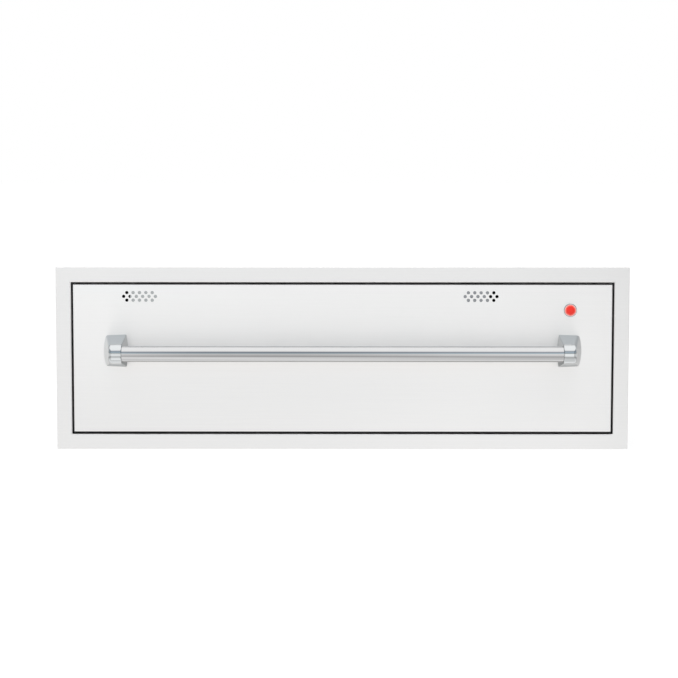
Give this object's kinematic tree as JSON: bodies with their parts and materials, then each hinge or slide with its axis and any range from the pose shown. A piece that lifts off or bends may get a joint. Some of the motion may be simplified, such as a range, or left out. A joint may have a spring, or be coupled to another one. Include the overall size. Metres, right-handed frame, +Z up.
{
  "type": "built-in warming drawer",
  "caption": "Built-in stainless warming drawer with a trim frame, a full-width bar handle, sliding moisture vents, an indicator lamp and a heated tub on ball-bearing slides.",
  "frame": {"origin": "middle of the casing's width, on the casing's underside, in the plane of the trim frame's back lip", "axes": "+X to the right seen from the front, +Y into the cabinet, +Z up; the front looks along -Y"},
  "size_m": [0.9652, 0.6792, 0.308],
  "materials": {
    "brushed_stainless": "satin, fine grain brushed along the width",
    "polished_chrome": "mirror polished",
    "casing_steel": "mill finish stainless sheet",
    "tub_stainless": "satin stainless sheet",
    "slide_steel": "bright zinc plate",
    "cage_steel": "bright steel strip and balls",
    "screw_steel": "plain stainless",
    "heater_sheath": "heat-darkened alloy sheath",
    "capillary_copper": "drawn copper",
    "mineral_wool": "loose fibre",
    "seal_silicone": "matt",
    "black_plastic": "fine moulded grain",
    "dial_plate": "satin anodised",
    "lens_red": "clear red, polished",
    "terminal_ceramic": "glazed",
    "wire_sleeve": "woven glass sleeve",
    "lead_rubber": "smooth, matt"
  },
  "bodies": {
    "casing": {"face_frame": "brushed_stainless", "casing_bottom": "casing_steel", "casing_side_left": "casing_steel", "casing_side_right": "casing_steel", "casing_top": "casing_steel", "casing_back": "casing_steel", "seal_rim": "casing_steel", "ceiling_shield": "casing_steel", "ceiling_insulation": "mineral_wool", "casing_screws": "screw_steel", "junction_box": "casing_steel", "junction_cover": "casing_steel", "cord_bushing": "black_plastic", "terminal_block": "terminal_ceramic", "lead_grommet": "black_plastic", "coiled_lead": "lead_rubber", "slide_standoffs": "casing_steel", "outer_slide_left": "slide_steel", "outer_slide_right": "slide_steel"},
    "drawer": {"front_skin": "brushed_stainless", "front_liner": "tub_stainless", "front_insulation": "mineral_wool", "door_gasket": "seal_silicone", "handle_bar": "polished_chrome", "handle_bracket_left": "polished_chrome", "handle_bracket_right": "polished_chrome", "handle_screws": "screw_steel", "indicator_bezel": "polished_chrome", "indicator_lens": "lens_red", "indicator_nut": "screw_steel", "vent_guides": "casing_steel", "thermostat_body": "black_plastic", "thermostat_dial": "dial_plate", "thermostat_sensor": "capillary_copper", "sensor_clips": "tub_stainless", "drawer_shell": "casing_steel", "drawer_tub": "tub_stainless", "tub_insulation": "mineral_wool", "drawer_screws": "screw_steel", "heater_element": "heater_sheath", "heater_glands": "screw_steel", "heater_supports": "tub_stainless", "heater_cover": "tub_stainless", "food_rack": "polished_chrome", "terminal_cover": "casing_steel", "wire_harness": "wire_sleeve", "inner_slide_left": "slide_steel", "inner_slide_right": "slide_steel"},
    "slide_middle_left": {"middle_slide_left": "slide_steel"},
    "outer_cage_left": {"outer_ball_cage_left": "cage_steel"},
    "inner_cage_left": {"inner_ball_cage_left": "cage_steel"},
    "slide_middle_right": {"middle_slide_right": "slide_steel"},
    "outer_cage_right": {"outer_ball_cage_right": "cage_steel"},
    "inner_cage_right": {"inner_ball_cage_right": "cage_steel"},
    "vent_shutter_left": {"vent_shutter_left": "tub_stainless", "vent_tab_left": "black_plastic"},
    "vent_shutter_right": {"vent_shutter_right": "tub_stainless", "vent_tab_right": "black_plastic"},
    "thermostat_knob": {"thermostat_knob": "black_plastic", "thermostat_shaft": "screw_steel"}
  },
  "joints": [
    {"name": "drawer_slide", "type": "slide", "parent": "casing", "child": "drawer", "axis": [0, -1, 0], "range_m": [0, 0.42], "deforming": ["coiled_lead"]},
    {"name": "slide_middle_left_travel", "type": "slide", "parent": "casing", "child": "slide_middle_left", "axis": [0, -1, 0], "range_m": [0, 0.21]},
    {"name": "outer_cage_left_travel", "type": "slide", "parent": "casing", "child": "outer_cage_left", "axis": [0, -1, 0], "range_m": [0, 0.105]},
    {"name": "inner_cage_left_travel", "type": "slide", "parent": "casing", "child": "inner_cage_left", "axis": [0, -1, 0], "range_m": [0, 0.315]},
    {"name": "slide_middle_right_travel", "type": "slide", "parent": "casing", "child": "slide_middle_right", "axis": [0, -1, 0], "range_m": [0, 0.21]},
    {"name": "outer_cage_right_travel", "type": "slide", "parent": "casing", "child": "outer_cage_right", "axis": [0, -1, 0], "range_m": [0, 0.105]},
    {"name": "inner_cage_right_travel", "type": "slide", "parent": "casing", "child": "inner_cage_right", "axis": [0, -1, 0], "range_m": [0, 0.315]},
    {"name": "vent_slide_left", "type": "slide", "parent": "drawer", "child": "vent_shutter_left", "axis": [1, 0, 0], "range_m": [-0.017, 0.047]},
    {"name": "vent_slide_right", "type": "slide", "parent": "drawer", "child": "vent_shutter_right", "axis": [1, 0, 0], "range_m": [-0.0444, 0.0196]},
    {"name": "thermostat_turn", "type": "hinge", "parent": "drawer", "child": "thermostat_knob", "pos_m": [0.33, 0.04, 0.222], "axis": [0, -1, 0], "range_deg": [0, 270]}
  ],
  "couplings": [
    {"joint": "slide_middle_left_travel", "follows": "drawer_slide", "ratio": 0.5},
    {"joint": "outer_cage_left_travel", "follows": "drawer_slide", "ratio": 0.25},
    {"joint": "inner_cage_left_travel", "follows": "drawer_slide", "ratio": 0.75},
    {"joint": "slide_middle_right_travel", "follows": "drawer_slide", "ratio": 0.5},
    {"joint": "outer_cage_right_travel", "follows": "drawer_slide", "ratio": 0.25},
    {"joint": "inner_cage_right_travel", "follows": "drawer_slide", "ratio": 0.75}
  ]
}
